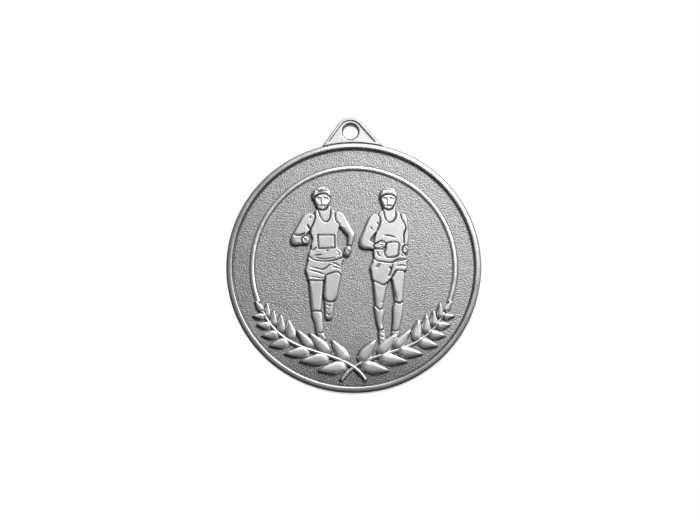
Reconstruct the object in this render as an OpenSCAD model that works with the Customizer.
// Sports finisher medal: a round cast disc with a raised rim and a ribbon lug. Its face carries a thin
// ring that ends in two crossed laurel sprays, and two runners in low relief. The back is plain.
// Frame: the medal hangs in the XZ plane with its face toward -Y. The origin is the centre of the lug's
// hole, halfway through the thickness.

/* [Disc] */
// Diameter of the disc
medal_d = 50; // [36:1:70]
// Thickness of the web between the front and the back field
web_t = 1.4; // [1:0.1:3]
// Height of the rim above each field
rim_h = 0.8; // [0.8:0.1:1.5]
// Width of the rim's flat crown and rounded outer edge together
rim_w = 1.1; // [1:0.1:3]
// How far the rim's inner wall slopes inward from its crown to the field
rim_draft = 0.3; // [0.1:0.05:0.8]
// Radius that rounds the rim's two outer edges
rim_round = 0.7; // [0.3:0.05:0.9]

/* [Ribbon lug] */
// Distance from the disc's edge to the centre of the hole
lug_reach = 2.3; // [2:0.05:4]
// Radius of the lug's top round the hole
lug_top_r = 2.95; // [2.6:0.05:4]
// Width of the lug where it meets the disc
lug_base_w = 12.4; // [9:0.1:18]
// How far the lug's base sits to the left of the disc's middle
lug_base_shift = 0.25; // [-0.5:0.05:0.5]
// How far the hole sits to the left of the disc's middle
hole_shift = 0.65; // [-0.8:0.05:0.8]
// Thickness of the lug inside its border
lug_t = 2.1; // [1.4:0.1:2.6]
// Width of the border round the lug
lug_border_w = 0.5; // [0.3:0.05:0.6]
// Height of that border above the lug on each side
lug_border_h = 0.15; // [0.1:0.05:0.3]
// Diameter of the hole for the ribbon's ring
hole_d = 3; // [2:0.1:4]
// Chamfer at both mouths of the hole
hole_chamfer = 0.25; // [0.1:0.05:0.4]

/* [Ring and laurel] */
// Middle radius of the thin ring on a 50 mm medal
ring_r = 19.9; // [19.5:0.05:20.2]
// Width of the thin ring
ring_w = 0.9; // [0.5:0.1:1.2]
// Height of the thin ring above the field
ring_h = 0.4; // [0.2:0.05:0.7]
// Angle below the horizontal at which the ring ends on each side
ring_end = 21; // [18:1:24]
// Width of a laurel stem at its root
stem_w = 0.62; // [0.4:0.02:0.8]
// Width of a laurel stem at its tip
stem_tip_w = 0.3; // [0.2:0.02:0.5]
// Height of the laurel stems above the field
stem_h = 0.55; // [0.3:0.05:0.8]
// Height of the laurel leaves above the field
leaf_h = 0.6; // [0.3:0.05:0.8]
// Width of the stalk between a leaf and its stem
stalk_w = 0.3; // [0.2:0.02:0.5]

/* [Runners] */
// Height of a face above the field
face_h = 0.95; // [0.6:0.05:1.3]
// Height of a cap above the field
cap_h = 1.1; // [0.6:0.05:1.4]
// Height of a neck above the field
neck_h = 0.55; // [0.4:0.05:1]
// Height of a vest above the field
vest_h = 0.8; // [0.5:0.05:1.1]
// Thickness of a race bib on its vest
bib_t = 0.12; // [0.08:0.02:0.3]
// Height of an arm above the field
arm_h = 0.75; // [0.5:0.05:1.1]
// Height of a hand above the field
hand_h = 1; // [0.6:0.05:1.3]
// Height of the shorts above the field
shorts_h = 0.85; // [0.5:0.05:1.1]
// Height of the leg that a runner stands on
leg_h = 0.75; // [0.5:0.05:1.1]
// Height of the knee that comes forward
knee_h = 1; // [0.6:0.05:1.3]
// Height of the socks and shoes above the field
shoe_h = 0.6; // [0.4:0.05:1]

/* [Hidden] */
$fn = 96;

medal_r = medal_d / 2;
crown_r = medal_r - rim_w;
field_r = crown_r - rim_draft;
field_z = web_t / 2;
half_t = field_z + rim_h;
hole_at = [-hole_shift, medal_r + lug_reach];
lug_half_t = lug_t / 2 + lug_border_h;
// The artwork is drawn for a field of this radius and follows the field when that changes
art_field_r = 23.6;
art_scale = field_r / art_field_r;
cut_past = 0.5;
arc_steps = 10;
curve_steps = 4;
stem_steps = 24;
leaf_steps = 14;

// Control points of the left stem's centre line, from its tip to the end of its tail
STEM = [[-17.7, -9], [-13.2, -18.9], [-1.8, -15.5], [2.4, -22.5]];
// Each leaf of the left spray: where its stalk leaves the stem (0 to 1), its foot, its point and its width
TIP_LEAF = [[0, [-17.7, -9.1], [-19.3, -6.7], 1.1]];
OUTER_LEAVES = [
    [0.03, [-17.4, -10.1], [-19.8, -9.8], 1.1],
    [0.11, [-16.2, -11.9], [-19, -11.5], 1.4],
    [0.19, [-14.7, -13.6], [-18, -13.7], 1.6],
    [0.29, [-12.8, -15.1], [-16.5, -15.7], 1.8],
    [0.48, [-9.4, -16.9], [-13.6, -17.3], 1.9],
    [0.64, [-5.6, -18.4], [-10.6, -18.8], 2],
    [0.8, [-2.2, -20.1], [-7, -20.6], 2.1]
];
INNER_LEAVES = [
    [0.06, [-16.8, -9.9], [-16.9, -7], 1.1],
    [0.13, [-15.7, -11.5], [-15.6, -8.5], 1.25],
    [0.21, [-14.2, -12.9], [-14.2, -9.3], 1.5],
    [0.31, [-11.9, -14.3], [-12.8, -10.3], 1.8],
    [0.49, [-8.3, -15.7], [-11.2, -12.4], 1.7],
    [0.63, [-4.9, -16.8], [-8.8, -13], 2],
    [0.78, [-0.8, -18.6], [-4.4, -14.4], 2.1]
];

// Turns face coordinates (x right, y up, z toward the viewer) into the hanging frame
module hung() {
    rotate([90, 0, 0]) translate([-hole_at[0], -hole_at[1], 0]) children();
}

// A flat-topped piece that stands on the field, or on another piece of height base
module raised(height, base = 0) {
    translate([0, 0, field_z + base]) linear_extrude(height) children();
}

// A cutter that follows an outline through everything above the field
module cut_through() {
    translate([0, 0, field_z - cut_past]) linear_extrude(4 * half_t) children();
}

function art(p) = [p[0] * art_scale, p[1] * art_scale];
function arc(p, r, from, to) = [
    for (i = [0:arc_steps]) let (a = from + (to - from) * i / arc_steps) p + r * [cos(a), sin(a)]
];

// A smooth closed curve through a few points
function curve_point(a, b, c, d, t) = 0.5 * (
    2 * b + (c - a) * t + (2 * a - 5 * b + 4 * c - d) * pow(t, 2) + (3 * b - a - 3 * c + d) * pow(t, 3)
);
function curved(points) = let (n = len(points)) [
    for (i = [0:n - 1], k = [0:curve_steps - 1]) curve_point(
        points[i], points[(i + 1) % n], points[(i + 2) % n], points[(i + 3) % n], k / curve_steps
    )
];

// Artwork outlines: straight-sided, curved through its points, a disc, and a bar with two round ends
module patch(points) {
    polygon([for (p = points) art(p)]);
}

module soft_patch(points) {
    patch(curved(points));
}

module dot(p, r) {
    translate(art(p)) circle(r * art_scale);
}

module limb(p1, r1, p2, r2) {
    along = p2 - p1;
    a = atan2(along[1], along[0]);
    b = acos((r1 - r2) / norm(along));
    patch(concat(arc(p1, r1, a + b, a + 360 - b), arc(p2, r2, a - b, a + b)));
}

// ---- disc, rim and lug

module field_plate() {
    color("slategray") hung() cylinder(r = field_r, h = web_t, center = true);
}

module rim() {
    edge_r = medal_r - rim_round;
    edge_z = half_t - rim_round;
    color("gainsboro") hung() rotate_extrude() polygon(concat(
        [[field_r, -field_z], [field_r, field_z], [crown_r, half_t]],
        arc([edge_r, edge_z], rim_round, 90, 0),
        arc([edge_r, -edge_z], rim_round, 0, -90),
        [[crown_r, -half_t]]
    ));
}

// A point where a flank of the lug meets the disc: side is -1 for the left flank, 1 for the right
function lug_corner(side) = let (x = side * lug_base_w / 2 - lug_base_shift) [
    x, sqrt(pow(medal_r, 2) - pow(x, 2))
];
// Direction that a flank faces, as the tangent from its corner to the round top
function flank_faces(side) = let (along = lug_corner(side) - hole_at)
    atan2(along[1], along[0]) + side * acos(lug_top_r / norm(along));
// A point on a flank that is drawn in by inset, carried down inside the disc
function flank_foot(side, inset) = let (a = flank_faces(side))
    lug_corner(side) - inset * [cos(a), sin(a)] + side * [sin(a), -cos(a)];

// Outline of the lug, drawn in from its edge by inset, before the disc is cut out of it
module lug_outline(inset) {
    turned = flank_faces(-1) < 0 ? 360 : 0;
    polygon(concat(
        [[0, 0], flank_foot(1, inset)],
        arc(hole_at, lug_top_r - inset, flank_faces(1), flank_faces(-1) + turned),
        [flank_foot(-1, inset)]
    ));
}

module lug_side(inset) {
    difference() {
        lug_outline(inset);
        circle(medal_r + inset);
    }
}

module ribbon_lug() {
    color("gainsboro") hung() difference() {
        translate([0, 0, -lug_half_t]) linear_extrude(2 * lug_half_t) lug_side(0);
        for (side = [-1, 1]) translate([0, 0, side * (lug_t / 2 + lug_half_t)])
            linear_extrude(2 * lug_half_t, center = true) lug_side(lug_border_w);
        translate([hole_at[0], hole_at[1], 0]) ring_hole();
    }
}

module ring_hole() {
    mouth_z = lug_t / 2;
    cylinder(d = hole_d, h = 4 * lug_half_t, center = true);
    for (turn = [0, 180]) rotate([turn, 0, 0]) translate([0, 0, mouth_z - hole_chamfer])
        cylinder(r1 = hole_d / 2, r2 = hole_d / 2 + hole_chamfer + cut_past, h = hole_chamfer + cut_past);
}

// ---- ring and laurel

module inner_ring() {
    sweep = 180 + 2 * ring_end;
    color("silver") hung() difference() {
        translate([0, 0, field_z]) rotate([0, 0, -ring_end]) rotate_extrude(angle = sweep)
            translate([ring_r * art_scale, 0]) ring_section();
        for (side = [-1, 1]) cut_through() sided(side) leaf_outline(TIP_LEAF[0]);
    }
}

// A low bead: flat underneath and arched on top
module ring_section() {
    bead_r = (pow(ring_w / 2, 2) + pow(ring_h, 2)) / (2 * ring_h);
    intersection() {
        translate([0, ring_h - bead_r]) circle(bead_r);
        translate([-ring_w, 0]) square([2 * ring_w, 2 * ring_h]);
    }
}

// Keeps the left side's shapes, or turns them over to the right side
module sided(side) {
    mirror([side > 0 ? 1 : 0, 0, 0]) children();
}

function on_stem(t) = pow(1 - t, 3) * STEM[0] + 3 * pow(1 - t, 2) * t * STEM[1]
    + 3 * (1 - t) * pow(t, 2) * STEM[2] + pow(t, 3) * STEM[3];
function stem_slope(t) = pow(1 - t, 2) * (STEM[1] - STEM[0]) + 2 * (1 - t) * t * (STEM[2] - STEM[1])
    + pow(t, 2) * (STEM[3] - STEM[2]);
function stem_side(t, side) = let (
        s = stem_slope(t),
        half = (stem_tip_w + (stem_w - stem_tip_w) * sqrt(t)) / 2
    ) on_stem(t) + side * half * [-s[1], s[0]] / norm(s);

module stem_outline() {
    patch([
        for (side = [-1, 1], i = [0:stem_steps])
            stem_side((side < 0 ? i : stem_steps - i) / stem_steps, side)
    ]);
}

// A leaf blade along +x, widest nearer its foot
function blade_half_width(s, leaf) = leaf[3] / 2 * sin(180 * pow(s, 0.75));
module leaf_blade(leaf) {
    length = norm(leaf[2] - leaf[1]);
    patch([
        for (side = [-1, 1], i = [0:leaf_steps - 1])
            let (s = (side < 0 ? i : leaf_steps - i) / leaf_steps)
            [s * length, side * blade_half_width(s, leaf)]
    ]);
}

module on_leaf(leaf) {
    along = leaf[2] - leaf[1];
    translate(art(leaf[1])) rotate(atan2(along[1], along[0])) children();
}

module leaf_outline(leaf) {
    foot = leaf[1];
    on_leaf(leaf) leaf_blade(leaf);
    limb(on_stem(leaf[0]), stalk_w / 2, foot + 0.15 * (leaf[2] - foot), 0.8 * stalk_w / 2);
}

// Leaves of one side, clear of both stems and of the runners' feet
module laurel_leaves(side, leaves) {
    color("silver") hung() raised(leaf_h) difference() {
        sided(side) for (leaf = leaves) leaf_outline(leaf);
        sided(-1) stem_outline();
        sided(1) stem_outline();
        feet_outline();
    }
}

module left_stem() {
    color("silver") hung() raised(stem_h) sided(-1) stem_outline();
}

// The right stem passes under the left one, which splits it where they cross
module right_stem_part(side) {
    color("silver") hung() raised(stem_h) difference() {
        intersection() {
            sided(1) stem_outline();
            translate([side * medal_r, -medal_r]) square(2 * medal_r, center = true);
        }
        sided(-1) stem_outline();
    }
}

module right_stem() { right_stem_part(1); }
module right_stem_tail() { right_stem_part(-1); }

module left_tip_leaf() { laurel_leaves(-1, TIP_LEAF); }
module left_outer_leaves() { laurel_leaves(-1, OUTER_LEAVES); }
module left_inner_leaves() { laurel_leaves(-1, INNER_LEAVES); }
module right_tip_leaf() { laurel_leaves(1, TIP_LEAF); }
module right_outer_leaves() { laurel_leaves(1, OUTER_LEAVES); }
module right_inner_leaves() { laurel_leaves(1, INNER_LEAVES); }

// ---- bearded runner, on the left; "right" and "left" name the runner's own sides

module bearded_cap_outline() {
    difference() {
        dot([-6.3, 14.2], 1.9);
        dot([-6.15, 12.6], 1.95);
    }
}

module bearded_head_outline() {
    limb([-6.15, 13.7], 1.7, [-6.2, 12.45], 1.15);
}

module bearded_neck_outline() {
    soft_patch([
        [-7, 12.4], [-4.75, 12.4], [-4.55, 11.2], [-4.7, 9.8], [-5.1, 9.1], [-5.6, 8.9],
        [-6.1, 9.2], [-6.6, 10], [-6.95, 11.2]
    ]);
}

module bearded_vest_outline() {
    difference() {
        soft_patch([
            [-7.6, 11.15], [-6.95, 11.35], [-4.55, 11.5], [-3.75, 11.1], [-3.65, 9.7],
            [-3.35, 8.9], [-2.85, 8.4], [-3.05, 7.2], [-3.25, 5.5], [-3.15, 3.9],
            [-2.3, 2.8], [-2.2, 2.2], [-2.4, 1.7], [-4, 1.2], [-5.75, 1],
            [-7.4, 1.2], [-8.5, 1.7], [-8.85, 2.3], [-8.7, 3], [-8.3, 3.6],
            [-8.3, 4.5], [-8, 5.5], [-8.5, 6.9], [-8.4, 7.6], [-7.8, 9], [-7.55, 10.2]
        ]);
        bearded_neck_outline();
        bearded_head_outline();
    }
}

module bearded_right_hand_outline() {
    dot([-9.45, 5.25], 0.85);
}

module bearded_thigh_outline() {
    limb([-4, -2], 1.5, [-4.55, -5.75], 1.35);
}

module bearded_shorts_outline() {
    difference() {
        soft_patch([
            [-8.5, 2], [-2.4, 2], [-2.35, 0.4], [-2.4, -1.8], [-3.1, -1.2], [-4.2, -1.3],
            [-5.6, -1.9], [-5.9, -2.8], [-8.8, -2.75], [-9, -2], [-9.45, -0.8],
            [-9.15, 0.4], [-8.9, 1.2]
        ]);
        bearded_vest_outline();
    }
}

module bearded_sock_outline() {
    soft_patch([
        [-8.2, -9.1], [-7.2, -8.9], [-6.2, -9.2], [-6, -11.3], [-6, -13], [-7.2, -13], [-7.55, -11.3]
    ]);
}

module bearded_shoe_outline() {
    soft_patch([[-7.2, -13], [-6, -13], [-5.5, -13.9], [-5.3, -14.5], [-6, -14.7], [-6.8, -13.9]]);
}

module bearded_runner_cap() {
    color("gainsboro") hung() raised(cap_h) bearded_cap_outline();
}

module bearded_runner_face() {
    color("lightgray") hung() raised(face_h) difference() {
        bearded_head_outline();
        bearded_cap_outline();
    }
}

module bearded_runner_neck() {
    color("lightgray") hung() raised(neck_h) difference() {
        bearded_neck_outline();
        bearded_head_outline();
    }
}

module bearded_runner_vest() {
    color("gainsboro") hung() raised(vest_h) bearded_vest_outline();
}

module bearded_runner_bib() {
    color("white") hung() raised(bib_t, vest_h)
        patch([[-7.1, 6.2], [-3.85, 6.2], [-3.7, 3.7], [-6.9, 3.5]]);
}

module bearded_runner_right_arm() {
    color("lightgray") hung() raised(arm_h) difference() {
        union() {
            limb([-8.8, 9.3], 1.45, [-11.35, 5.4], 1.05);
            limb([-11.45, 5.2], 0.95, [-10, 5.3], 0.8);
        }
        bearded_right_hand_outline();
        bearded_vest_outline();
    }
}

module bearded_runner_right_hand() {
    color("lightgray") hung() raised(hand_h) bearded_right_hand_outline();
}

module bearded_left_hand_outline() {
    limb([-1.05, 3.5], 0.7, [-1.3, 2.6], 0.62);
}

module bearded_runner_left_arm() {
    color("lightgray") hung() raised(arm_h) difference() {
        union() {
            limb([-2.9, 9.95], 1.1, [-0.5, 6.5], 0.72);
            limb([-0.45, 6.4], 0.72, [-0.75, 4.3], 0.42);
        }
        bearded_vest_outline();
        bearded_left_hand_outline();
    }
}

module bearded_runner_left_hand() {
    color("lightgray") hung() raised(hand_h) bearded_left_hand_outline();
}

module bearded_runner_shorts() {
    color("gainsboro") hung() raised(shorts_h) bearded_shorts_outline();
}

module bearded_runner_standing_leg() {
    color("lightgray") hung() raised(leg_h) difference() {
        limb([-7.35, -2.2], 1.45, [-7.25, -8.3], 1);
        bearded_shorts_outline();
        bearded_sock_outline();
        bearded_thigh_outline();
    }
}

module bearded_runner_standing_sock() {
    color("silver") hung() raised(shoe_h) bearded_sock_outline();
}

module bearded_runner_standing_shoe() {
    color("silver") hung() raised(shoe_h) difference() {
        bearded_shoe_outline();
        bearded_sock_outline();
    }
}

module bearded_runner_raised_leg() {
    color("lightgray") hung() raised(knee_h) difference() {
        bearded_thigh_outline();
        bearded_shorts_outline();
    }
}

module bearded_runner_raised_shoe() {
    color("silver") hung() raised(shoe_h) difference() {
        limb([-4.75, -7], 0.95, [-4.85, -9.9], 0.72);
        bearded_thigh_outline();
    }
}

// ---- capped runner, on the right

module capped_cap_outline() {
    difference() {
        dot([6.85, 14.15], 1.75);
        dot([6.8, 12.5], 1.95);
    }
}

module capped_head_outline() {
    limb([6.85, 13.7], 1.6, [6.8, 12.4], 1.08);
}

module capped_neck_outline() {
    soft_patch([
        [5.95, 12.4], [8, 12.4], [8.25, 10.8], [8.2, 9.7], [7.6, 9], [6.95, 8.8], [6.3, 9.4],
        [5.95, 10.6]
    ]);
}

module capped_right_hand_outline() {
    limb([4.4, 4], 0.5, [5.5, 4.25], 0.82);
}

module capped_right_arm_outline() {
    limb([4.3, 9.2], 1.4, [2.05, 5.1], 0.95);
    limb([2.1, 4.6], 1.05, [4.3, 3.95], 0.5);
}

module capped_left_hand_outline() {
    limb([10.15, 3.55], 0.62, [10, 3.1], 0.55);
}

module capped_vest_outline() {
    difference() {
        soft_patch([
            [5.2, 10.95], [5.95, 11.2], [8.05, 11.2], [9.1, 10.6], [9.4, 9.6], [10.15, 8],
            [10.1, 7.2], [9.8, 6.3], [9.85, 4.3], [9.6, 3], [10.4, 1.5], [8.7, 1.4],
            [7.4, 0.75], [5.65, 0.9], [4.15, 1.4], [3.95, 3.5], [4.15, 5.6], [4.6, 7.1],
            [5, 8.1], [5.2, 9.4], [4.85, 10.4]
        ]);
        capped_neck_outline();
        capped_head_outline();
        capped_right_hand_outline();
        limb([2.1, 4.6], 1.05, [4.3, 3.95], 0.5);
        capped_left_hand_outline();
    }
}

module capped_shorts_outline() {
    difference() {
        soft_patch([
            [4.3, 1.6], [10.2, 1.6], [10.35, 0.5], [10.3, -0.8], [8.7, -0.8], [8.2, -1],
            [7.2, -2.5], [5.9, -3.7], [4.8, -3.3], [3.7, -2.7], [3.45, -1.2], [3.2, -0.2],
            [3.7, 0.75]
        ]);
        capped_vest_outline();
    }
}

module capped_right_sock_outline() {
    soft_patch([
        [4, -7.75], [4.9, -8.55], [5.75, -8.4], [5.95, -9.2], [5.6, -11.3], [5.85, -12.2],
        [4.9, -12.6], [4.25, -9.9]
    ]);
}

module capped_right_shoe_outline() {
    soft_patch([
        [4.9, -12.6], [5.85, -12.2], [6.2, -13.6], [6.1, -15.2], [5.6, -16.2], [5.05, -16.2],
        [4.95, -14.5]
    ]);
}

module capped_left_sock_outline() {
    soft_patch([
        [8.05, -7.1], [8.9, -7.35], [9.65, -7.05], [9.55, -9], [9.3, -10.6], [8.7, -12.6],
        [7.55, -12.7], [7.6, -11], [7.65, -8.2]
    ]);
}

module capped_left_shoe_outline() {
    soft_patch([[7.55, -12.7], [8.7, -12.6], [8.85, -13.4], [8.2, -13.9], [7.3, -13.6]]);
}

module feet_outline() {
    bearded_shoe_outline();
    capped_right_shoe_outline();
    capped_left_shoe_outline();
}

module capped_runner_cap() {
    color("gainsboro") hung() raised(cap_h) capped_cap_outline();
}

module capped_runner_face() {
    color("lightgray") hung() raised(face_h) difference() {
        capped_head_outline();
        capped_cap_outline();
    }
}

module capped_runner_neck() {
    color("lightgray") hung() raised(neck_h) difference() {
        capped_neck_outline();
        capped_head_outline();
    }
}

module capped_runner_vest() {
    color("gainsboro") hung() raised(vest_h) capped_vest_outline();
}

module capped_runner_bib() {
    color("white") hung() raised(bib_t, vest_h) difference() {
        soft_patch([
            [6.5, 4.6], [8.7, 4.7], [8.75, 3], [8.6, 2.15], [7.9, 1.85], [6.5, 1.8], [5.95, 2.9],
            [6.2, 3.3]
        ]);
        capped_right_hand_outline();
    }
}

module capped_runner_right_arm() {
    color("lightgray") hung() raised(arm_h) difference() {
        capped_right_arm_outline();
        capped_right_hand_outline();
        capped_vest_outline();
    }
}

module capped_runner_right_hand() {
    color("lightgray") hung() raised(hand_h) capped_right_hand_outline();
}

module capped_runner_left_arm() {
    color("lightgray") hung() raised(arm_h) difference() {
        union() {
            limb([9.4, 9.55], 1.1, [10.1, 6.3], 0.62);
            limb([10.15, 6.2], 0.6, [10.25, 4.5], 0.38);
        }
        capped_vest_outline();
        capped_left_hand_outline();
    }
}

module capped_runner_left_hand() {
    color("lightgray") hung() raised(hand_h) capped_left_hand_outline();
}

module capped_runner_shorts() {
    color("gainsboro") hung() raised(shorts_h) capped_shorts_outline();
}

module capped_runner_right_leg() {
    color("lightgray") hung() raised(leg_h) difference() {
        limb([5.2, -3.4], 1.4, [4.95, -8], 0.72);
        capped_shorts_outline();
        capped_right_sock_outline();
    }
}

module capped_runner_right_sock() {
    color("silver") hung() raised(shoe_h) capped_right_sock_outline();
}

module capped_runner_right_shoe() {
    color("silver") hung() raised(shoe_h) difference() {
        capped_right_shoe_outline();
        capped_right_sock_outline();
    }
}

module capped_runner_left_leg() {
    color("lightgray") hung() raised(knee_h) difference() {
        limb([8.7, -1.8], 1.3, [8.8, -6.7], 0.8);
        capped_shorts_outline();
        capped_left_sock_outline();
    }
}

module capped_runner_left_sock() {
    color("silver") hung() raised(shoe_h) capped_left_sock_outline();
}

module capped_runner_left_shoe() {
    color("silver") hung() raised(shoe_h) difference() {
        capped_left_shoe_outline();
        capped_left_sock_outline();
    }
}

field_plate();
rim();
ribbon_lug();
inner_ring();
left_stem();
left_tip_leaf();
left_outer_leaves();
left_inner_leaves();
right_stem();
right_stem_tail();
right_tip_leaf();
right_outer_leaves();
right_inner_leaves();
bearded_runner_face();
bearded_runner_cap();
bearded_runner_neck();
bearded_runner_vest();
bearded_runner_bib();
bearded_runner_right_arm();
bearded_runner_right_hand();
bearded_runner_left_arm();
bearded_runner_left_hand();
bearded_runner_shorts();
bearded_runner_standing_leg();
bearded_runner_standing_sock();
bearded_runner_standing_shoe();
bearded_runner_raised_leg();
bearded_runner_raised_shoe();
capped_runner_face();
capped_runner_cap();
capped_runner_neck();
capped_runner_vest();
capped_runner_bib();
capped_runner_right_arm();
capped_runner_right_hand();
capped_runner_left_arm();
capped_runner_left_hand();
capped_runner_shorts();
capped_runner_right_leg();
capped_runner_right_sock();
capped_runner_right_shoe();
capped_runner_left_leg();
capped_runner_left_sock();
capped_runner_left_shoe();
